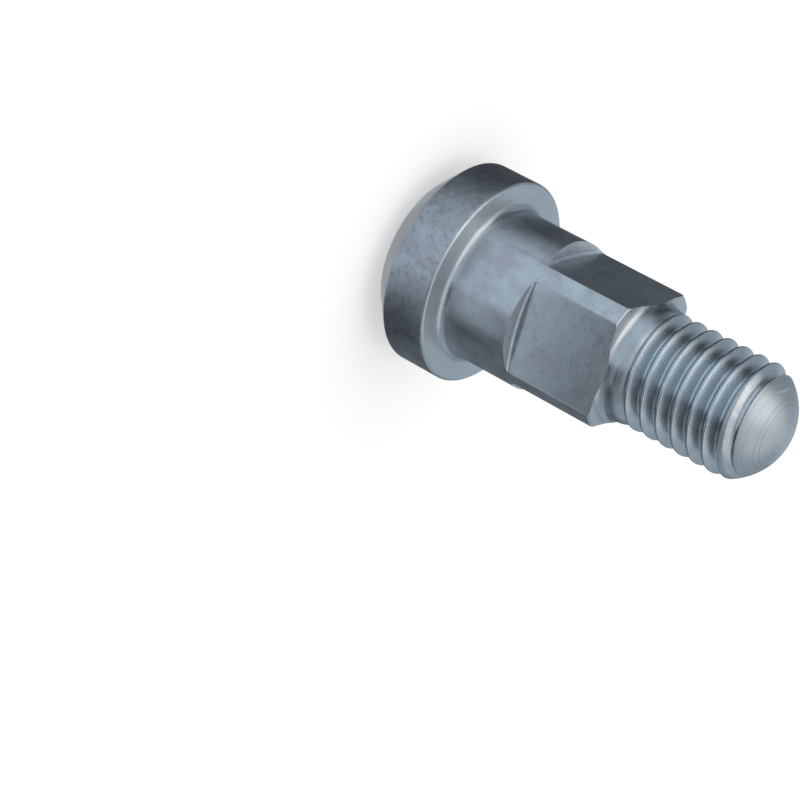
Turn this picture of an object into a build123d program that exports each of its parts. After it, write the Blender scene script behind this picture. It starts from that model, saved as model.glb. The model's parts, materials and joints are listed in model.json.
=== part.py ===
# Pivot bolt for a pair of pruning shears, in mm, standing on the end of its head.
# The axis is +Z and runs from the head's end face at z = 0 up to the domed threaded end.
# The flats of the square lie across X and Y.
from build123d import *
from build123d.topology import SkipClean
from math import sqrt, tan, radians
import os

os.makedirs("parts", exist_ok=True)

# Thread, a coarse one of 10 mm
thread_diameter = 10.0
pitch = 1.5
thread_length = 10.19  # from the end of the neck to the rim of the dome
thread_start_angle = 114.2  # turn of the groove about Z, degrees
dome_height = 3.21

# Neck, a little thicker than the thread
neck_step = 0.1  # how far it stands outside the thread
neck_length = 0.95

# Square that keeps the bolt from turning in one blade
flat_step = 0.11  # how far each flat stands outside the neck
corner_height = 1.415  # of the round corners over the flats
square_length = 8.7  # from the middle of a flat's rounded head end to the corners' end
flat_cutter_radius = 21.0  # disc cutter, which leaves an arc at the head end of each flat
flat_root_bevel = 0.25  # of the disc cutter's rim, left in the corner where each arc meets its flat
corner_end_bevel = 0.12
square_foot_radius = 0.8

# Shoulder that the other blade turns on, as thick as the square's round corners
shoulder_length = 6.45
shoulder_root_radius = 0.6

# Head
bearing_width = 2.375  # from the shoulder out to the head's rim
head_height = 6.4
end_chamfer = 2.3  # around the head's end face, 45 degrees
rim_bevel = 0.25  # around the face that bears on the blade, 45 degrees
facing_mark_diameter = 5.6  # shallow round recess the lathe left in the end face
facing_mark_depth = 0.08

# Radii, from the thread outwards: 5, 5.1, 5.21, 6.625 and 9
thread_radius = thread_diameter / 2
neck_radius = thread_radius + neck_step
flat_distance = neck_radius + flat_step
shoulder_radius = flat_distance + corner_height
head_radius = shoulder_radius + bearing_width

# Heights, from the head's end face up
flat_start = head_height + shoulder_length
square_end = flat_start + square_length
neck_end = square_end + neck_length
dome_start = neck_end + thread_length
tip = dome_start + dome_height

# Where a flat's arc has come up the bar at the flat's edges, and the corners stand alone
flat_half_width = sqrt(shoulder_radius**2 - flat_distance**2)
arc_rise = flat_cutter_radius - sqrt(flat_cutter_radius**2 - flat_half_width**2)
corner_gap = 0.05  # from where the arc leaves the edge to where the corners' own walls begin
corner_start = flat_start + arc_rise + corner_gap

# Thread form of a metric screw: flanks at 60 degrees, and an eighth of the pitch flat at the crest
thread_depth = 0.6134 * pitch
flank_slope = tan(radians(30))
mouth_half_width = pitch * 7 / 16
cutter_cover = 0.15  # how far the cutter stands out of the rod's surface
run_out_cover = 0.1  # how far the run-out cone reaches below the root of the thread

fillet_share_of_wall = 0.9  # the most of its wall that a fillet takes up


def quarter_round(start, corner, end):
    """Fillet in a square corner, as a weighted curve: its face takes fewer facets than an arc's."""
    return Bezier(start, corner, end, weights=(1, sqrt(0.5), 1))


def head_and_shoulder():
    """Turned head with its chamfered end, and the shoulder, as one solid of revolution."""
    mark = facing_mark_diameter / 2
    fillet_radius = min(shoulder_root_radius, fillet_share_of_wall * (bearing_width - rim_bevel))
    with BuildPart() as body:
        with BuildSketch(Plane.XZ):
            with BuildLine():
                Polyline(
                    (0, facing_mark_depth),
                    (mark - facing_mark_depth, facing_mark_depth),
                    (mark, 0),
                    (head_radius - end_chamfer, 0),
                    (head_radius, end_chamfer),
                    (head_radius, head_height - rim_bevel),
                    (head_radius - rim_bevel, head_height),
                    (shoulder_radius + fillet_radius, head_height),
                )
                quarter_round(
                    (shoulder_radius + fillet_radius, head_height),
                    (shoulder_radius, head_height),
                    (shoulder_radius, head_height + fillet_radius),
                )
                Polyline(
                    (shoulder_radius, head_height + fillet_radius),
                    (shoulder_radius, corner_start),
                    (0, corner_start),
                    (0, facing_mark_depth),
                )
            make_face()
        revolve(axis=Axis.Z)
    return body.part


def bar_and_neck():
    """Turned bar that the square is cut from, and the neck with its filleted foot."""
    bevel_radius = shoulder_radius - corner_end_bevel
    foot_wall = min(bevel_radius - neck_radius, neck_length)
    foot_radius = min(square_foot_radius, fillet_share_of_wall * foot_wall)
    core_radius = thread_radius - thread_depth - run_out_cover
    cone_end = neck_end + neck_radius - core_radius
    with BuildPart() as body:
        with BuildSketch(Plane.XZ):
            with BuildLine():
                Polyline(
                    (0, corner_start),
                    (shoulder_radius, corner_start),
                    (shoulder_radius, square_end - corner_end_bevel),
                    (bevel_radius, square_end),
                    (neck_radius + foot_radius, square_end),
                )
                quarter_round(
                    (neck_radius + foot_radius, square_end),
                    (neck_radius, square_end),
                    (neck_radius, square_end + foot_radius),
                )
                # past the neck the core narrows in a cone, on which the thread runs out
                Polyline(
                    (neck_radius, square_end + foot_radius),
                    (neck_radius, neck_end),
                    (core_radius, cone_end),
                    (0, cone_end),
                    (0, corner_start),
                )
            make_face()
        revolve(axis=Axis.Z)
    return body.part


def mill_flats(body):
    """Mill the four flats of the square with a disc cutter that has a bevelled rim."""
    with BuildPart() as cutter:
        with BuildSketch(Plane.YZ.offset(flat_distance)):
            with Locations((0, flat_start + flat_cutter_radius)):
                Circle(flat_cutter_radius)
        extrude(amount=2 * corner_height)
        chamfer(cutter.edges().sort_by(Axis.X)[0], flat_root_bevel)
    for turn in range(4):
        body = body - Rot(0, 0, 90 * turn) * cutter.part
    return body


def groove_turn(start):
    """One turn of the thread's groove: a 60 degree vee with a flat root, on a helix."""
    root = thread_radius - thread_depth
    outside = thread_radius + cutter_cover
    root_half_width = mouth_half_width - thread_depth * flank_slope
    outside_half_width = mouth_half_width + cutter_cover * flank_slope
    helix = Helix(pitch=pitch, height=pitch, radius=root, center=(0, 0, start))
    with BuildSketch(Plane.XZ) as section:
        with BuildLine():
            Polyline(
                (outside, start - outside_half_width),
                (root, start - root_half_width),
                (root, start + root_half_width),
                (outside, start + outside_half_width),
                (outside, start - outside_half_width),
            )
        make_face()
    return sweep(sections=section.sketch, path=helix, is_frenet=True)


def threaded_end():
    """Threaded end with its domed tip. Its lower end stays hidden inside the neck."""
    dome_radius = (thread_radius**2 + dome_height**2) / (2 * dome_height)
    with BuildPart() as rod:
        with BuildSketch(Plane.XZ):
            with BuildLine():
                Polyline((0, square_end), (thread_radius, square_end), (thread_radius, dome_start))
                RadiusArc((thread_radius, dome_start), (0, tip), -dome_radius)
                Line((0, tip), (0, square_end))
            make_face()
        revolve(axis=Axis.Z)
    # the groove is cut turn by turn, from inside the neck to past the tip
    start = neck_end - pitch / 2
    turns = int((tip - start) / pitch) + 1
    groove = Rot(0, 0, thread_start_angle) * groove_turn(start)
    threaded = rod.part
    for turn in range(turns):
        threaded = threaded - Pos(0, 0, turn * pitch) * groove
    return threaded


# The round corners of the square carry on the shoulder's diameter. Their walls stay faces of
# their own, so the pieces are joined without the cleaning that would merge them.
with SkipClean():
    bolt = mill_flats(head_and_shoulder() + bar_and_neck()) + threaded_end()
bolt.label = "pivot_bolt"
export_step(bolt, "parts/pivot_bolt.step")
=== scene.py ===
"""Looks of a pivot bolt for pruning shears, laid out as a Blender add-on and run as a script.

Two pieces dress the solid of the frame: the headed shank, turned and then milled, and the
threaded end with its dome. Sizes are in metres, written in millimetres times MM.
"""
import json
import math

import bmesh
import bpy
from bpy.props import FloatProperty, FloatVectorProperty, PointerProperty
from mathutils import Matrix, Vector


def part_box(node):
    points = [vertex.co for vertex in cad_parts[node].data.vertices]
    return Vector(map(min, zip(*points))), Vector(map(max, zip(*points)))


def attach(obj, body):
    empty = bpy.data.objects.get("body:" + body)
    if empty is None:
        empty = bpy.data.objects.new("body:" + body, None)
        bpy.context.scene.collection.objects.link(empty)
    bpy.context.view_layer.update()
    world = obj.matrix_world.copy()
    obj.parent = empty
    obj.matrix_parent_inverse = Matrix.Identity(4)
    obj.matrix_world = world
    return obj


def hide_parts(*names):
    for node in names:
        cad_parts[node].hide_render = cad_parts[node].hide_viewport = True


bl_info = {
    "name": "Pivot Bolt",
    "version": (1, 0, 0),
    "blender": (4, 5, 0),
    "location": "3D View > Sidebar > Pivot Bolt",
    "description": "Models a steel pivot bolt with a milled square and a domed thread, and lights it",
    "category": "Mesh",
}

MM = 0.001
NODE = "pivot_bolt"
WHITE = (1, 1, 1, 1)
FULL_TURN = 2 * math.pi
MERGE_DISTANCE = 0.0005 * MM

# Steps of the curved shapes
TURN_STEPS = 192  # faces round a turned piece
CUTTER_STEPS = 4 * TURN_STEPS  # faces round the disc cutter, which is wider than the bolt
ARC_STEPS = 5  # faces across a rounded corner
DOME_STEPS = 48  # faces from the domed blank's rim to the tip

# Headed shank
CORE_INSET = 0.1 * MM  # how far the shank's core lies inside the thread's roots
FACING_MARK_ROUND = 0.03 * MM
RUN_OUT_ROUND = 1.5 * MM  # between the neck and the cone that the grooves run out on
SHANK_SHARPNESS = math.radians(33)  # edges sharper than this are rounded

# Threaded end
FLANK_ANGLE = math.radians(30)  # half of the angle between a groove's two flanks
FIRST_PITCH = 11.5  # pitches from the groove height up to where the screwed profile starts
THREAD_TURNS = 14  # turns of the profile, so that it reaches past both ends of the thread
THREAD_OVERLAP = 0.6 * MM  # how far the threaded end reaches down inside the shank's neck
BLANK_MARGIN = 0.3 * MM  # how far the domed blank stands outside the thread
THREAD_SHARPNESS = math.radians(30)
THREAD_EDGE_ROUND = 0.05 * MM

# Which faces a finish covers
WALL_MARGIN = 0.02 * MM  # how far inside a wall's radius the middle of its faces may lie
DOME_MARGIN = 0.03 * MM  # the same for the dome
RIM_MARGIN = 0.1 * MM  # how far the dome's finish may reach below its rim
END_FACING = 0.95  # least part of the normal along the axis, on an end face
FLAT_FACING = 0.99  # least part of the normal along X or Y, on a flat
SMOOTH_ANGLE = math.radians(32)  # edges sharper than this stay sharp in the shading

# Relief of the finishes
RELIEF_LOW = 0.3  # value of the relief's noise where the first roughness holds
RELIEF_HIGH = 0.7  # and where the second holds
ACROSS = 0.25  # of a turn, which lays the highlights across the tool marks
WAVER_WIDTH = 3 * MM  # of the tool marks
WAVER_HEIGHT = 0.15 * MM
GRAIN_WIDTH = 0.16 * MM  # of the drawn skin and the milled flats
WAVE_WIDTH = 0.9 * MM  # of the ground shoulder
BREAK_WIDTH = 0.15 * MM  # of the grain that breaks up the rolled streaks
BREAK_SHARE = 0.4
DARK_FROM = 0.5  # value of the dome's rings where they start to darken
DARK_TO = 0.75  # and where they are darkest
DARK_MOST = 0.22  # share of scale in the darkest rings
SCRATCH_PLACE = (3.62, 0.22, 34.5)  # in millimetres
SCRATCH_TURN = math.radians(2)
SCRATCH_SIZE = (0.08, 1.3, 0.6)  # half of its width, length and depth, in millimetres

# Stage
FLOOR_SIZE = 1  # in metres
STAGE_RADIUS = 400 * MM  # of the tent wall and the round card
STAGE_SIDES = 64
ON_AXIS = (0, 0)  # centre of a card's headings, on the bolt's axis
WALL_HEIGHT = 400 * MM
ROUND_CARD_HEIGHT = 0.02 * MM
SHADOW_LIFT = 0.4  # share of plain white that lightens the shadow for the camera
SOFTBOX_PLACE = (134, 12, 234)  # in millimetres
SOFTBOX_SIZE = 230 * MM
SOFTBOX_COLOUR = "#fff2e6"
CAMERA_PLACE = (81.298, 194.444, 124.326)  # in millimetres, at the photograph's viewing angle
CAMERA_TURN = (-41.0287, -48.9324, -66.9058)  # in degrees
CAMERA_LENS = 131.58  # in millimetres, as is the sensor
CAMERA_SENSOR = 36
CAMERA_NEAR = 1 * MM

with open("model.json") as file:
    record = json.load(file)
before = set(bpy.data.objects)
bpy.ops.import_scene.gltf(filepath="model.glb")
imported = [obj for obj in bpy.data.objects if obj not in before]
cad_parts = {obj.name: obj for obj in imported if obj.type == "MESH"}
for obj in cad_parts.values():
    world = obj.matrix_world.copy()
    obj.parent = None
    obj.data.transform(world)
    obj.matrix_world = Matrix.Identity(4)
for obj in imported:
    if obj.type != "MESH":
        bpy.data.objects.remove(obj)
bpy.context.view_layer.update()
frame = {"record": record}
bolt_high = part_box(NODE)[1]


def mount(name):
    """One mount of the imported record, by its name."""
    return next(entry for entry in frame["record"]["mounts"] if entry["name"] == name)


def linear(code):
    """Turn an sRGB hex colour into linear red, green and blue, by the standard's own numbers."""
    shares = [int(code[place:place + 2], 16) / 255 for place in (1, 3, 5)]
    return [share / 12.92 if share <= 0.04045 else ((share + 0.055) / 1.055) ** 2.4 for share in shares]


def length(name, description, millimetres):
    """A length that a user can change, given in millimetres."""
    default = millimetres * MM
    return FloatProperty(name=name, description=description, default=default, unit="LENGTH", precision=5)


def colour(name, description, code):
    """A colour that a user can change, given as an sRGB hex code."""
    default = linear(code)
    return FloatVectorProperty(
        name=name, description=description, default=default, subtype="COLOR", min=0, max=1
    )


class BoltSizes(bpy.types.PropertyGroup):
    """Sizes of the bolt, from the frame where it states them."""

    head_radius: length("Head radius", "Half of the head's width", bolt_high.x / MM)
    head_height: length(
        "Head height", "From the end face to the bearing face", mount("head_seat")["pos_m"][2] / MM
    )
    end_chamfer: length("End chamfer", "Width of the chamfer round the end face", 2.3)
    rim_round: length("Rim rounding", "Rounding round the bearing face", 0.28)
    facing_mark_radius: length("Facing mark radius", "Round recess in the end face", 2.8)
    facing_mark_depth: length("Facing mark depth", "Depth of that recess", 0.08)
    shoulder_radius: length(
        "Shoulder radius", "Half of the shoulder's width", mount("shoulder")["dims"]["r_mm"]
    )
    shoulder_length: length("Shoulder length", "From the head to the square", 6.45)
    shoulder_root: length("Shoulder root radius", "Fillet between head and shoulder", 0.7)
    flat_distance: length("Flat distance", "From the axis to each flat of the square", 5.21)
    square_length: length("Square length", "From the start of a flat to the corners' end", 8.7)
    cutter_radius: length("Cutter radius", "Disc cutter that milled the flats", 21.0)
    cutter_round: length("Cutter rounding", "Rounded rim of the disc cutter", 0.3)
    corner_end_round: length("Corner end rounding", "Rounding at the square's end", 0.25)
    foot_radius: length("Square foot radius", "Fillet between the square and the neck", 0.8)
    neck_radius: length("Neck radius", "Half of the neck's width", 5.1)
    neck_length: length("Neck length", "From the square to the thread", 1.4)
    run_out: length("Run-out", "Height over which the grooves run out at the neck", 1.35)
    thread_radius: length("Thread radius", "Half of the thread's width over its crests", 5.0)
    pitch: length("Pitch", "From one crest of the thread to the next", 1.5)
    thread_depth: length("Thread depth", "From crest to root", 0.92)
    crest_round: length("Crest rounding", "Rounding of the thread's crests", 0.13)
    root_round: length("Root rounding", "Rounding of the thread's roots", 0.2)
    groove_height: length("Groove height", "Height of a groove's middle on the X axis, in a pitch", 0.274)
    dome_height: length("Dome height", "From the dome's rim to the tip", 3.21)
    edge_round: length("Edge rounding", "Rounding of the milled edges", 0.09)
    turned_round: length("Turned edge rounding", "Rounding of the turned edges", 0.12)


class SteelFinish(bpy.types.PropertyGroup):
    """Colours of the steel's surfaces."""

    bright: colour("Bright steel", "Freshly cut steel", "#bac2c9")
    blue: colour("Blue steel", "Burnished steel with a blue cast", "#b3bdc5")
    dull: colour("Dull steel", "Oiled and slightly oxidised steel", "#a7adb4")
    faced: colour("Faced steel", "Steel cut square to the axis", "#b0b9bf")
    violet: colour("Violet steel", "Steel under a thin violet-grey film", "#a5a2ac")
    worn: colour("Worn steel", "Steel worn smooth by handling", "#aab3ba")
    scale: colour("Scale", "Dark scale left from the bar", "#75757b")
    pit: colour("Pit", "Dark oxide in pits and specks", "#44464c")
    fleck: colour("Fleck", "Small bright scratches", "#dcdfe0")


class StudioLight(bpy.types.PropertyGroup):
    """Levels of the studio's light. A level of 1 is white."""

    surround: FloatProperty(name="Surround", description="Level of the pale surround", default=1.0, min=0)
    tent: FloatProperty(name="Tent", description="Level of the pale grey tent and cards", default=0.72, min=0)
    softbox: FloatProperty(name="Softbox", description="Power of the softbox in watts", default=0.15, min=0)
    card_tint: colour("Card tint", "Cool tint of the tent and the cards", "#e7f5ff")


def square_end(sizes):
    """Height where the square's corners end."""
    return sizes.head_height + sizes.shoulder_length + sizes.square_length


def neck_end(sizes):
    """Height where the neck ends and the thread begins."""
    return square_end(sizes) + sizes.neck_length


def deselect():
    """Leave object mode with nothing selected, so an operator acts only on what comes next."""
    if bpy.context.mode != "OBJECT":
        bpy.ops.object.mode_set(mode="OBJECT")
    bpy.ops.object.select_all(action="DESELECT")


def only(piece):
    """Select one piece alone and make it the active one."""
    deselect()
    piece.select_set(True)
    bpy.context.view_layer.objects.active = piece


def rounded(corners):
    """Points of an outline in the XZ plane. A corner is its radius, height and rounding."""
    points = []
    for place, (radius, height, rounding) in enumerate(corners):
        corner = Vector((radius, height))
        if rounding == 0:
            points.append(corner)
            continue
        before = (Vector(corners[place - 1][:2]) - corner).normalized()
        after = (Vector(corners[place + 1][:2]) - corner).normalized()
        half = before.angle(after) / 2
        centre = corner + (before + after).normalized() * rounding / math.sin(half)
        reach = rounding / math.tan(half)
        start = corner + before * reach - centre
        turn = start.angle_signed(corner + after * reach - centre)
        for step in range(ARC_STEPS + 1):
            points.append(centre + Matrix.Rotation(-turn * step / ARC_STEPS, 2) @ start)
    return points


def draw(name, points):
    """Draw an open outline in the XZ plane, one extruded vertex after the other."""
    deselect()
    bpy.ops.mesh.primitive_plane_add(size=MM)
    piece = bpy.context.object
    piece.name = name
    piece.data.name = name
    bpy.ops.object.mode_set(mode="EDIT")
    bpy.ops.mesh.select_mode(type="VERT")
    bpy.ops.mesh.merge(type="CENTER")
    bpy.ops.transform.translate(value=(points[0].x, 0, points[0].y))
    for here, there in zip(points, points[1:]):
        step = there - here
        bpy.ops.mesh.extrude_vertices_move(TRANSFORM_OT_translate={"value": (step.x, 0, step.y)})
    bpy.ops.mesh.select_all(action="SELECT")
    return piece


def select_edges(piece, chosen):
    """Select the edges of a piece in edit mode that a rule chooses, and no others."""
    bpy.ops.mesh.select_mode(type="EDGE")
    bpy.ops.mesh.select_all(action="DESELECT")
    mesh = bmesh.from_edit_mesh(piece.data)
    for edge in mesh.edges:
        edge.select = chosen(edge)
    mesh.select_flush_mode()
    bmesh.update_edit_mesh(piece.data)


def turn_on_lathe(name, points):
    """Spin an outline that begins and ends on the axis into a closed turned piece."""
    piece = draw(name, points)
    bpy.ops.mesh.spin(steps=TURN_STEPS, angle=FULL_TURN, center=(0, 0, 0), axis=(0, 0, 1))
    bpy.ops.mesh.select_all(action="SELECT")
    bpy.ops.mesh.remove_doubles(threshold=MERGE_DISTANCE)
    bpy.ops.mesh.normals_make_consistent(inside=False)
    deselect()
    return piece


def apply_modifier(piece, kind, **settings):
    """Add one modifier to a piece, set it and apply it."""
    only(piece)
    modifier = piece.modifiers.new(kind.lower(), kind)
    for name, value in settings.items():
        setattr(modifier, name, value)
    bpy.ops.object.modifier_apply(modifier=modifier.name)


def remove(piece):
    """Delete a piece that was only a tool."""
    mesh = piece.data
    bpy.data.objects.remove(piece)
    bpy.data.meshes.remove(mesh)


def round_sharp_edges(piece, sharpness, width, segments):
    """Bevel every edge that is sharper than an angle."""
    only(piece)
    bpy.ops.object.mode_set(mode="EDIT")
    bpy.ops.mesh.select_mode(type="EDGE")
    bpy.ops.mesh.select_all(action="DESELECT")
    bpy.ops.mesh.edges_select_sharp(sharpness=sharpness)
    bpy.ops.mesh.bevel(offset=width, segments=segments, affect="EDGES", clamp_overlap=True)
    bpy.ops.mesh.select_all(action="SELECT")
    bpy.ops.mesh.remove_doubles(threshold=MERGE_DISTANCE)
    deselect()


def mill_flats(piece, sizes):
    """Cut the four flats of the square with a disc cutter that has a rounded rim."""
    thickness = 2 * (sizes.shoulder_radius - sizes.flat_distance)
    height = sizes.head_height + sizes.shoulder_length + sizes.cutter_radius
    deselect()
    bpy.ops.mesh.primitive_cylinder_add(
        vertices=CUTTER_STEPS,
        radius=sizes.cutter_radius,
        depth=thickness,
        location=(sizes.flat_distance + thickness / 2, 0, height),
        rotation=(0, math.pi / 2, 0),
    )
    cutter = bpy.context.object
    bpy.ops.object.transform_apply(location=True, rotation=True, scale=True)
    bpy.ops.object.mode_set(mode="EDIT")
    inner_face = sizes.flat_distance + MERGE_DISTANCE
    select_edges(cutter, lambda edge: all(vertex.co.x < inner_face for vertex in edge.verts))
    bpy.ops.mesh.bevel(offset=sizes.cutter_round, segments=ARC_STEPS, affect="EDGES")
    deselect()
    for quarter in range(4):
        cutter.rotation_euler.z = quarter * FULL_TURN / 4
        bpy.context.view_layer.update()
        apply_modifier(piece, "BOOLEAN", operation="DIFFERENCE", object=cutter, solver="EXACT")
    remove(cutter)


def node(tree, kind, inputs=None, **settings):
    """Add a shader node with its settings, and give its inputs their values or links."""
    added = tree.nodes.new(kind)
    for name, value in settings.items():
        setattr(added, name, value)
    for name, value in (inputs or {}).items():
        if isinstance(value, bpy.types.NodeSocket):
            tree.links.new(value, added.inputs[name])
        else:
            added.inputs[name].default_value = value
    return added


def new_material(name):
    """An empty node material."""
    material = bpy.data.materials.new(name)
    material.use_nodes = True
    material.node_tree.nodes.clear()
    return material


def steel_material(name):
    """A new material, its node tree and the place on the piece in metres."""
    material = new_material(name)
    tree = material.node_tree
    return material, tree, node(tree, "ShaderNodeTexCoord").outputs["Object"]


def blotched(tree, place, shade, tone, size, detail, edges, most):
    """Lay a tone over a shade in blotches about this many millimetres wide, up to a share.

    The edges are the values of the noise where the tone starts to show and where it is full.
    """
    inputs = {"Vector": place, "Scale": 1 / (size * MM), "Detail": detail}
    blotches = node(tree, "ShaderNodeTexNoise", inputs)
    inputs = {"Value": blotches.outputs["Fac"], "From Min": edges[0], "From Max": edges[1], "To Max": most}
    share = node(tree, "ShaderNodeMapRange", inputs, interpolation_type="SMOOTHSTEP")
    inputs = {"Factor": share.outputs["Result"], "A": shade, "B": (*tone, 1)}
    return node(tree, "ShaderNodeMix", inputs, data_type="RGBA").outputs["Result"]


def axis_distance(tree, place):
    """Distance from the bolt's axis."""
    parts = node(tree, "ShaderNodeSeparateXYZ", {"Vector": place}).outputs
    flat = node(tree, "ShaderNodeCombineXYZ", {"X": parts["X"], "Y": parts["Y"]})
    distance = node(tree, "ShaderNodeVectorMath", {0: flat.outputs["Vector"]}, operation="LENGTH")
    return distance.outputs["Value"]


def rings(tree, place, spacing, rise):
    """Tool marks round the axis, this many millimetres apart, that waver a little.

    With a rise of 1 they cross walls and end faces, with 0 they follow the distance from the axis.
    """
    height = node(tree, "ShaderNodeSeparateXYZ", {"Vector": place}).outputs["Z"]
    inputs = {0: height, 1: rise, 2: axis_distance(tree, place)}
    along = node(tree, "ShaderNodeMath", inputs, operation="MULTIPLY_ADD")
    waver = node(tree, "ShaderNodeTexNoise", {"Vector": place, "Scale": 1 / WAVER_WIDTH, "Detail": 0})
    inputs = {0: waver.outputs["Fac"], 1: WAVER_HEIGHT, 2: along.outputs["Value"]}
    wavering = node(tree, "ShaderNodeMath", inputs, operation="MULTIPLY_ADD")
    inputs = {"W": wavering.outputs["Value"], "Scale": 1 / (spacing * MM), "Detail": 1}
    return node(tree, "ShaderNodeTexNoise", inputs, noise_dimensions="1D").outputs["Fac"]


def add_metal(tree, shade, relief, height, roughness, anisotropy):
    """Metal with a relief this many millimetres high, whose highlights run across the tool marks.

    Its roughness goes from the first value to the second as the relief rises.
    """
    bump = node(tree, "ShaderNodeBump", {"Height": relief, "Strength": 1, "Distance": height * MM})
    inputs = {
        "Value": relief,
        "From Min": RELIEF_LOW,
        "From Max": RELIEF_HIGH,
        "To Min": roughness[0],
        "To Max": roughness[1],
    }
    rough = node(tree, "ShaderNodeMapRange", inputs, interpolation_type="SMOOTHSTEP")
    inputs = {
        "Base Color": shade,
        "Metallic": 1,
        "Roughness": rough.outputs["Result"],
        "Anisotropic": anisotropy,
        "Anisotropic Rotation": ACROSS,
        "Normal": bump.outputs["Normal"],
    }
    shader = node(tree, "ShaderNodeBsdfPrincipled", inputs)
    node(tree, "ShaderNodeOutputMaterial", {"Surface": shader.outputs["BSDF"]})


def turned_steel(finish):
    """Turned carbon steel, as the lathe left it: satin, with faint rings all round."""
    material, tree, place = steel_material("turned_carbon_steel")
    shade = (*finish.blue, 1)
    shade = blotched(tree, place, shade, finish.dull, size=2, detail=3, edges=(0.3, 0.6), most=0.85)
    # the rings are drawn coarser than the lathe's feed, so that they show
    marks = rings(tree, place, spacing=0.15, rise=1)
    add_metal(tree, shade, marks, height=0.006, roughness=(0.27, 0.36), anisotropy=0.6)
    return material


def faced_steel(finish):
    """Faced end of a turned step: greyer than the walls, with rings round the axis."""
    material, tree, place = steel_material("faced_carbon_steel")
    shade = (*finish.faced, 1)
    shade = blotched(tree, place, shade, finish.dull, size=1.5, detail=3, edges=(0.4, 0.7), most=0.4)
    shade = blotched(tree, place, shade, finish.scale, size=0.5, detail=3, edges=(0.55, 0.8), most=0.25)
    marks = rings(tree, place, spacing=0.2, rise=0)
    add_metal(tree, shade, marks, height=0.006, roughness=(0.34, 0.44), anisotropy=0.6)
    return material


def drawn_steel(finish):
    """Skin of the drawn bar on the head's wall: dull and softly mottled, with fine shallow pits."""
    material, tree, place = steel_material("cold_drawn_steel_skin")
    shade = (*finish.dull, 1)
    shade = blotched(tree, place, shade, finish.bright, size=1.3, detail=4, edges=(0.38, 0.62), most=0.6)
    shade = blotched(tree, place, shade, finish.violet, size=4, detail=2, edges=(0.45, 0.65), most=0.7)
    shade = blotched(tree, place, shade, finish.scale, size=0.5, detail=5, edges=(0.45, 0.75), most=0.45)
    shade = blotched(tree, place, shade, finish.pit, size=0.25, detail=3, edges=(0.62, 0.8), most=0.35)
    shade = blotched(tree, place, shade, finish.fleck, size=0.3, detail=2, edges=(0.66, 0.78), most=0.2)
    grain = node(tree, "ShaderNodeTexNoise", {"Vector": place, "Scale": 1 / GRAIN_WIDTH, "Detail": 2})
    add_metal(tree, shade, grain.outputs["Fac"], height=0.012, roughness=(0.36, 0.48), anisotropy=0.3)
    return material


def ground_steel(finish):
    """Ground shoulder: even and satin, blue to violet-grey under its oil, with a few specks."""
    material, tree, place = steel_material("ground_carbon_steel")
    shade = (*finish.bright, 1)
    shade = blotched(tree, place, shade, finish.dull, size=4, detail=2, edges=(0.4, 0.6), most=0.5)
    shade = blotched(tree, place, shade, finish.violet, size=2.2, detail=4, edges=(0.42, 0.66), most=0.65)
    shade = blotched(tree, place, shade, finish.scale, size=0.6, detail=3, edges=(0.6, 0.8), most=0.3)
    shade = blotched(tree, place, shade, finish.pit, size=0.4, detail=1, edges=(0.74, 0.8), most=0.5)
    waves = node(tree, "ShaderNodeTexNoise", {"Vector": place, "Scale": 1 / WAVE_WIDTH, "Detail": 2})
    add_metal(tree, shade, waves.outputs["Fac"], height=0.012, roughness=(0.33, 0.41), anisotropy=0.45)
    return material


def milled_steel(finish):
    """Milled flats: a matt, slightly grainy surface with soft blotches, specks and bright nicks."""
    material, tree, place = steel_material("milled_carbon_steel")
    shade = (*finish.bright, 1)
    shade = blotched(tree, place, shade, finish.dull, size=1.1, detail=4, edges=(0.4, 0.7), most=0.4)
    shade = blotched(tree, place, shade, finish.violet, size=2.4, detail=3, edges=(0.45, 0.65), most=0.3)
    shade = blotched(tree, place, shade, finish.scale, size=0.5, detail=3, edges=(0.5, 0.75), most=0.24)
    shade = blotched(tree, place, shade, finish.pit, size=0.26, detail=1, edges=(0.73, 0.79), most=0.6)
    shade = blotched(tree, place, shade, finish.fleck, size=0.2, detail=1, edges=(0.74, 0.8), most=0.4)
    grain = node(tree, "ShaderNodeTexNoise", {"Vector": place, "Scale": 1 / GRAIN_WIDTH, "Detail": 2})
    add_metal(tree, shade, grain.outputs["Fac"], height=0.006, roughness=(0.34, 0.42), anisotropy=0.3)
    return material


def rolled_steel(finish):
    """Rolled thread: burnished flanks, with fine broken streaks that follow the helix."""
    material, tree, place = steel_material("rolled_thread_steel")
    # along the helix the distance from the axis stays the same, so the streaks follow it
    grain = node(tree, "ShaderNodeTexNoise", {"Vector": place, "Scale": 1 / BREAK_WIDTH, "Detail": 2})
    marks = rings(tree, place, spacing=0.1, rise=0)
    inputs = {"A": marks, "B": grain.outputs["Fac"], "Factor": BREAK_SHARE}
    streaks = node(tree, "ShaderNodeMix", inputs, data_type="FLOAT").outputs["Result"]
    shade = (*finish.blue, 1)
    shade = blotched(tree, place, shade, finish.dull, size=1.5, detail=3, edges=(0.4, 0.7), most=0.5)
    shade = blotched(tree, place, shade, finish.fleck, size=0.14, detail=2, edges=(0.5, 0.7), most=0.22)
    add_metal(tree, shade, streaks, height=0.01, roughness=(0.31, 0.24), anisotropy=0.6)
    return material


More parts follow.
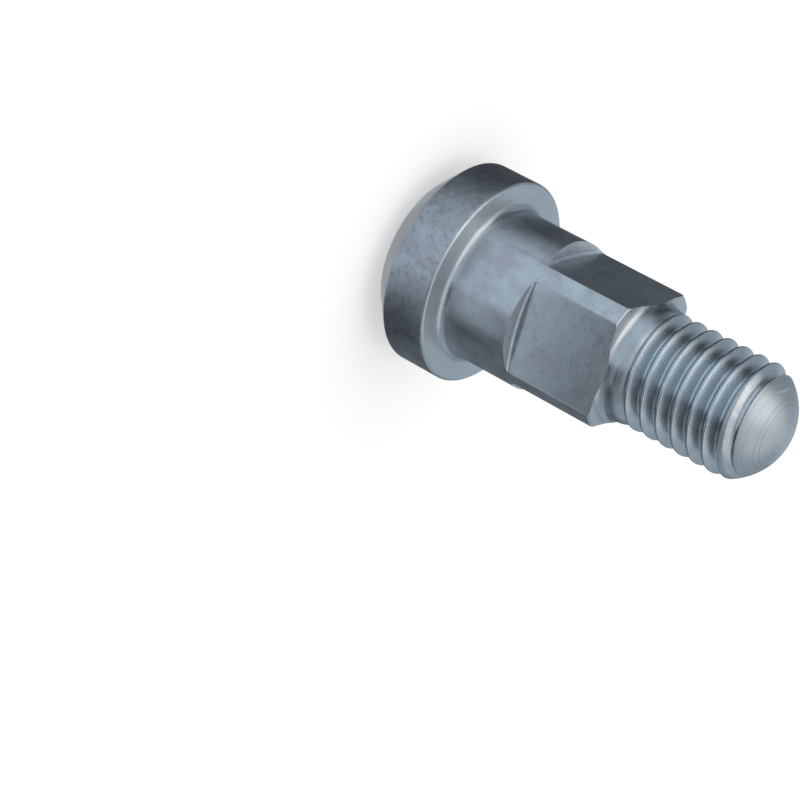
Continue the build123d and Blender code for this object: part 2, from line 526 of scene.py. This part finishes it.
def domed_steel(finish):
    """Domed tip: turned rings worn smooth by handling, with soft blotches."""
    material, tree, place = steel_material("turned_dome_steel")
    shade = (*finish.worn, 1)
    shade = blotched(tree, place, shade, finish.dull, size=1.6, detail=3, edges=(0.35, 0.65), most=0.3)
    shade = blotched(tree, place, shade, finish.scale, size=0.25, detail=3, edges=(0.55, 0.8), most=0.2)
    marks = rings(tree, place, spacing=0.2, rise=0)
    inputs = {"Value": marks, "From Min": DARK_FROM, "From Max": DARK_TO, "To Max": DARK_MOST}
    dark = node(tree, "ShaderNodeMapRange", inputs)
    inputs = {"Factor": dark.outputs["Result"], "A": shade, "B": (*finish.scale, 1)}
    shade = node(tree, "ShaderNodeMix", inputs, data_type="RGBA").outputs["Result"]
    # one scratch across the dome, bright along its middle
    inputs = {
        "Vector": place,
        "Location": [side * MM for side in SCRATCH_PLACE],
        "Rotation": (0, 0, SCRATCH_TURN),
        "Scale": [side * MM for side in SCRATCH_SIZE],
    }
    scratch = node(tree, "ShaderNodeMapping", inputs, vector_type="TEXTURE").outputs["Vector"]
    depth = node(tree, "ShaderNodeTexGradient", {"Vector": scratch}, gradient_type="SPHERICAL")
    inputs = {"Factor": depth.outputs["Fac"], "A": shade, "B": (*finish.fleck, 1)}
    shade = node(tree, "ShaderNodeMix", inputs, data_type="RGBA").outputs["Result"]
    add_metal(tree, shade, marks, height=0.006, roughness=(0.38, 0.45), anisotropy=0.2)
    return material


def finish_regions(piece, regions):
    """Give each region of a piece its material.

    A rule says which faces a region has. The first region has no rule, and keeps what the others leave.
    """
    only(piece)
    bpy.ops.object.mode_set(mode="EDIT")
    bpy.ops.mesh.select_mode(type="FACE")
    for index, (material, belongs) in enumerate(regions):
        piece.data.materials.append(material)
        bpy.ops.mesh.select_all(action="DESELECT")
        mesh = bmesh.from_edit_mesh(piece.data)
        for face in mesh.faces:
            face.select_set(index == 0 or belongs(face.calc_center_median(), face.normal))
        bmesh.update_edit_mesh(piece.data)
        piece.active_material_index = index
        bpy.ops.object.material_slot_assign()
    deselect()


def set_on_bolt(piece):
    """Shade a finished piece smoothly and set it on the bolt's body."""
    only(piece)
    bpy.ops.object.shade_smooth_by_angle(angle=SMOOTH_ANGLE)
    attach(piece, "root")
    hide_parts(NODE)
    deselect()


class BOLT_OT_headed_shank(bpy.types.Operator):
    """Turn the head, shoulder, square bar and neck, and mill the flats"""

    bl_idname = "bolt.headed_shank"
    bl_label = "Headed Shank"

    def execute(self, context):
        sizes = context.scene.bolt_sizes
        core = sizes.thread_radius - sizes.thread_depth - CORE_INSET
        cone_end = neck_end(sizes) + sizes.run_out
        edge = sizes.turned_round
        outline = rounded([
            (0, sizes.facing_mark_depth, 0),
            (sizes.facing_mark_radius - sizes.facing_mark_depth, sizes.facing_mark_depth, FACING_MARK_ROUND),
            (sizes.facing_mark_radius, 0, FACING_MARK_ROUND),
            (sizes.head_radius - sizes.end_chamfer, 0, edge),
            (sizes.head_radius, sizes.end_chamfer, edge),
            (sizes.head_radius, sizes.head_height, sizes.rim_round),
            (sizes.shoulder_radius, sizes.head_height, sizes.shoulder_root),
            (sizes.shoulder_radius, square_end(sizes), sizes.corner_end_round),
            (sizes.neck_radius, square_end(sizes), sizes.foot_radius),
            (sizes.neck_radius, neck_end(sizes), RUN_OUT_ROUND),
            (core, cone_end, 0),
            (0, cone_end, 0),
        ])
        piece = turn_on_lathe("headed_shank", outline)
        mill_flats(piece, sizes)
        round_sharp_edges(piece, SHANK_SHARPNESS, sizes.edge_round, segments=2)
        finish = context.scene.steel_finish
        neck_side = sizes.neck_radius
        wall = sizes.head_radius - WALL_MARGIN
        shoulder = sizes.shoulder_radius - WALL_MARGIN
        shoulder_start = sizes.head_height + sizes.shoulder_root
        flat_start = sizes.head_height + sizes.shoulder_length
        corner_end = square_end(sizes) - 2 * sizes.corner_end_round
        finish_regions(piece, [
            (turned_steel(finish), None),
            (
                faced_steel(finish),
                lambda place, normal: abs(normal.z) > END_FACING and place.xy.length > neck_side,
            ),
            (drawn_steel(finish), lambda place, normal: place.xy.length > wall),
            (
                ground_steel(finish),
                lambda place, normal: shoulder < place.xy.length < wall and place.z > shoulder_start,
            ),
            (
                milled_steel(finish),
                lambda place, normal: place.xy.length < shoulder and flat_start < place.z < square_end(sizes)
                and (place.z < corner_end or max(abs(normal.x), abs(normal.y)) > FLAT_FACING),
            ),
        ])
        set_on_bolt(piece)
        return {"FINISHED"}


class BOLT_OT_threaded_end(bpy.types.Operator):
    """Screw the rounded thread profile up the axis and trim it to the dome"""

    bl_idname = "bolt.threaded_end"
    bl_label = "Threaded End"

    def execute(self, context):
        sizes = context.scene.bolt_sizes
        pitch = sizes.pitch
        crest = sizes.thread_radius
        root = crest - sizes.thread_depth
        # a metric profile: half of a crest that is an eighth of the pitch wide, and half of the root
        half_crest = pitch / 16
        half_root = pitch * 7 / 16 - sizes.thread_depth * math.tan(FLANK_ANGLE)
        start = sizes.groove_height + pitch * FIRST_PITCH
        one_pitch = rounded([
            (crest, start, 0),
            (crest, start + half_crest, sizes.crest_round),
            (root, start + pitch / 2 - half_root, sizes.root_round),
            (root, start + pitch / 2 + half_root, sizes.root_round),
            (crest, start + pitch - half_crest, sizes.crest_round),
            (crest, start + pitch, 0),
        ])
        thread = draw("threaded_end", one_pitch)
        deselect()
        apply_modifier(
            thread,
            "SCREW",
            axis="Z",
            angle=FULL_TURN,
            screw_offset=pitch,
            iterations=THREAD_TURNS,
            steps=TURN_STEPS,
            render_steps=TURN_STEPS,
        )
        bpy.ops.object.mode_set(mode="EDIT")
        bpy.ops.mesh.select_all(action="SELECT")
        bpy.ops.mesh.remove_doubles(threshold=MERGE_DISTANCE)
        # close the lower end and then the upper one
        half_way = start + THREAD_TURNS / 2 * pitch
        for below in (True, False):
            select_edges(thread, lambda edge: edge.is_boundary and (edge.verts[0].co.z < half_way) == below)
            bpy.ops.mesh.extrude_edges_move()
            bpy.ops.mesh.merge(type="CENTER")
        bpy.ops.mesh.select_all(action="SELECT")
        bpy.ops.mesh.normals_make_consistent(inside=False)
        deselect()
        # the blank ends in the dome's sphere, and what of the thread stands out of it is cut off
        tip = bolt_high.z
        dome_radius = (crest ** 2 + sizes.dome_height ** 2) / (2 * sizes.dome_height)
        outside = crest + BLANK_MARGIN
        rim = math.asin(outside / dome_radius)
        blank_start = neck_end(sizes) - THREAD_OVERLAP
        outline = [Vector((0, blank_start)), Vector((outside, blank_start))]
        for step in range(DOME_STEPS + 1):
            slope = rim * (1 - step / DOME_STEPS)
            height = tip - dome_radius + dome_radius * math.cos(slope)
            outline.append(Vector((dome_radius * math.sin(slope), height)))
        blank = turn_on_lathe("domed_blank", outline)
        apply_modifier(thread, "BOOLEAN", operation="INTERSECT", object=blank, solver="EXACT")
        remove(blank)
        round_sharp_edges(thread, THREAD_SHARPNESS, THREAD_EDGE_ROUND, segments=1)
        finish = context.scene.steel_finish
        dome_centre = Vector((0, 0, tip - dome_radius))
        dome_inside = dome_radius - DOME_MARGIN
        rim_height = tip - sizes.dome_height - RIM_MARGIN
        finish_regions(thread, [
            (rolled_steel(finish), None),
            (
                domed_steel(finish),
                lambda place, normal: place.z > rim_height and (place - dome_centre).length > dome_inside,
            ),
        ])
        set_on_bolt(thread)
        return {"FINISHED"}


def soft_levels(name, centre, stops, tint):
    """Emission whose level changes softly with the heading from a centre, in degrees."""
    material = new_material(name)
    tree = material.node_tree
    place = node(tree, "ShaderNodeTexCoord").outputs["Object"]
    offset = (-centre[0] * MM, -centre[1] * MM, 0)
    centred = node(tree, "ShaderNodeMapping", {"Vector": place, "Location": offset})
    inputs = {"Vector": centred.outputs["Vector"]}
    heading = node(tree, "ShaderNodeTexGradient", inputs, gradient_type="RADIAL")
    levels = node(tree, "ShaderNodeValToRGB", {"Fac": heading.outputs["Fac"]})
    ramp = levels.color_ramp
    ramp.interpolation = "EASE"
    for number, (degrees, level) in enumerate(stops):
        # a new ramp has two stops, and runs from -180 to 180 degrees
        position = degrees / 360 + 0.5
        stop = ramp.elements[number] if number < 2 else ramp.elements.new(position)
        stop.position = position
        stop.color = (*(level * share for share in tint), 1)
    glow = node(tree, "ShaderNodeEmission", {"Color": levels.outputs["Color"]})
    node(tree, "ShaderNodeOutputMaterial", {"Surface": glow.outputs["Emission"]})
    return material


def reflected_only(piece, material):
    """Make a piece part of the stage that is seen in reflections alone."""
    for ray in ("camera", "diffuse", "transmission", "volume_scatter", "shadow"):
        setattr(piece, "visible_" + ray, False)
    piece.data.materials.append(material)


def floor_sheet(name, corners, height):
    """A flat sheet this high over the floor, its corners given in millimetres."""
    sheet = draw(name, [Vector(corner) * MM for corner in corners])
    bpy.ops.mesh.edge_face_add()
    bpy.ops.transform.rotate(value=math.pi / 2, orient_axis="X", center_override=(0, 0, 0))
    deselect()
    sheet.location.z = height * MM
    return sheet


def pale_floor():
    """White paint that keeps the object's shadow, and is plain white in what mirrors it."""
    material = new_material("pale_floor")
    tree = material.node_tree
    rays = node(tree, "ShaderNodeLightPath").outputs
    inputs = {0: rays["Is Glossy Ray"], 1: rays["Is Transmission Ray"]}
    mirrored = node(tree, "ShaderNodeMath", inputs, operation="MAXIMUM")
    inputs = {0: rays["Is Camera Ray"], 1: SHADOW_LIFT, 2: mirrored.outputs["Value"]}
    seen = node(tree, "ShaderNodeMath", inputs, operation="MULTIPLY_ADD")
    paint = node(tree, "ShaderNodeBsdfDiffuse", {"Color": WHITE})
    white = node(tree, "ShaderNodeEmission", {"Color": WHITE})
    inputs = {0: seen.outputs["Value"], 1: paint.outputs["BSDF"], 2: white.outputs["Emission"]}
    surface = node(tree, "ShaderNodeMixShader", inputs)
    node(tree, "ShaderNodeOutputMaterial", {"Surface": surface.outputs["Shader"]})
    return material


def floor_cards(grey, cool):
    """The cards that lie on the floor round the bolt.

    Each has its name, height, corners, centre of the headings, levels and tint. Lengths are in
    millimetres. The levels are pairs of a heading in degrees and the card's level there.
    """
    side_start = (-6, 10)
    plain = (1, 1, 1)
    return (
        (
            "seat_card", 0.055, ((10, 0), (5, 8.7), (-5, 8.7), (-10, 0), (-5, -8.7), (5, -8.7)),
            ON_AXIS, ((-180, 0.6), (180, 0.6)), plain,
        ),
        (
            "front_card", 0.05, ((44, -24), (390, -190), (390, 390), (60, 390), (10, 44), (38, 3)),
            ON_AXIS, (
                (-180, 0.05), (-32, 0.05), (-21, 0.28), (-11, 0.6), (-1, 0.72), (10, 0.9), (60, 0.88),
                (84, grey), (98, 0.5), (180, 0.5),
            ), cool,
        ),
        (
            "middle_card", 0.03, ((6, 30), (4, 49), (-35, 49), (-25, 30)),
            ON_AXIS, ((-180, 1.5), (180, 1.5)), cool,
        ),
        (
            "back_card", 0.035, ((-1, 50), (-46, 46), (-300, 250), (-5, 390)),
            ON_AXIS, ((-180, 0.3), (90, 0.5), (98, 0.05), (116, 0.05), (135, 0.3)), cool,
        ),
        (
            "side_card", 0.04, (side_start, (390, 22), (390, -400), (-41, -400)),
            side_start, (
                (-180, 0.34), (-95, 0.34), (-75, 0.26), (-60, 0.08), (-48, 0.07), (-34, 0.06),
                (-24, 0.1), (-16, 0.24), (-8, 0.52), (0, grey),
            ), cool,
        ),
    )


class BOLT_OT_studio(bpy.types.Operator):
    """Set the floor, the surround, the cards, the softbox and the camera"""

    bl_idname = "bolt.studio"
    bl_label = "Studio"

    def execute(self, context):
        studio = context.scene.studio_light
        deselect()
        bpy.ops.mesh.primitive_plane_add(size=FLOOR_SIZE)
        floor = context.object
        floor.name = "floor"
        floor.data.materials.append(pale_floor())

        # the tint leaves green alone, so that a card is about as bright as its level says
        green = studio.card_tint[1]
        cool = [share / green for share in studio.card_tint]
        grey = studio.tent
        bpy.ops.mesh.primitive_circle_add(
            vertices=STAGE_SIDES, radius=STAGE_RADIUS, fill_type="NGON", location=(0, 0, ROUND_CARD_HEIGHT)
        )
        context.object.name = "floor_card"
        reflected_only(context.object, soft_levels("floor_card", ON_AXIS, (
            (-180, 0.2), (-150, 0.16), (-130, 0.24), (-95, 0.34), (0, grey), (88, grey), (98, 0.46),
            (108, 0.26), (122, 0.1), (140, 0.06), (158, 0.16), (180, 0.2),
        ), cool))
        for name, height, corners, centre, stops, tint in floor_cards(grey, cool):
            reflected_only(floor_sheet(name, corners, height), soft_levels(name, centre, stops, tint))

        bpy.ops.mesh.primitive_cylinder_add(
            vertices=STAGE_SIDES,
            radius=STAGE_RADIUS,
            depth=WALL_HEIGHT,
            end_fill_type="NOTHING",
            location=(0, 0, WALL_HEIGHT / 2),
        )
        context.object.name = "tent_wall"
        reflected_only(context.object, soft_levels("tent_wall", ON_AXIS, (
            (-180, 0.55), (-158, 0.66), (-142, 0.5), (-130, 0.44), (-114, 0.86), (-98, 0.66), (-78, 0.45),
            (-55, 0.5), (-36, 0.2), (-16, 0.2), (2, grey), (90, grey), (98, 0.2), (116, 0.2), (130, 0.36),
            (180, 0.55),
        ), cool))

        bpy.ops.object.light_add(type="AREA", location=[place * MM for place in SOFTBOX_PLACE])
        softbox = context.object
        softbox.rotation_euler = Vector(softbox.location).to_track_quat("Z", "Y").to_euler()
        softbox.data.shape = "SQUARE"
        softbox.data.size = SOFTBOX_SIZE
        softbox.data.energy = studio.softbox
        softbox.data.color = linear(SOFTBOX_COLOUR)

        world = bpy.data.worlds.new("pale_surround")
        world.use_nodes = True
        world.node_tree.nodes.clear()
        inputs = {"Color": WHITE, "Strength": studio.surround}
        glow = node(world.node_tree, "ShaderNodeBackground", inputs)
        node(world.node_tree, "ShaderNodeOutputWorld", {"Surface": glow.outputs["Background"]})
        context.scene.world = world
        context.scene.view_settings.view_transform = "Standard"
        bpy.ops.object.camera_add(
            location=[place * MM for place in CAMERA_PLACE],
            rotation=[math.radians(angle) for angle in CAMERA_TURN],
        )
        camera = context.object
        camera.data.lens = CAMERA_LENS
        camera.data.sensor_width = CAMERA_SENSOR
        camera.data.clip_start = CAMERA_NEAR
        context.scene.camera = camera
        return {"FINISHED"}


class BOLT_PT_sidebar(bpy.types.Panel):
    """Sidebar panel that lists the bolt's pieces and its stage"""

    bl_label = "Pivot Bolt"
    bl_space_type = "VIEW_3D"
    bl_region_type = "UI"
    bl_category = "Pivot Bolt"

    def draw(self, context):
        for operator in OPERATORS:
            self.layout.operator(operator.bl_idname)


OPERATORS = (BOLT_OT_headed_shank, BOLT_OT_threaded_end, BOLT_OT_studio)
CLASSES = (BoltSizes, SteelFinish, StudioLight, *OPERATORS, BOLT_PT_sidebar)


def register():
    for entry in CLASSES:
        bpy.utils.register_class(entry)
    bpy.types.Scene.bolt_sizes = PointerProperty(type=BoltSizes)
    bpy.types.Scene.steel_finish = PointerProperty(type=SteelFinish)
    bpy.types.Scene.studio_light = PointerProperty(type=StudioLight)


def unregister():
    del bpy.types.Scene.studio_light
    del bpy.types.Scene.steel_finish
    del bpy.types.Scene.bolt_sizes
    for entry in reversed(CLASSES):
        bpy.utils.unregister_class(entry)


def main():
    register()
    bpy.ops.bolt.headed_shank()
    bpy.ops.bolt.threaded_end()
    bpy.ops.bolt.studio()


if __name__ == "__main__":
    main()
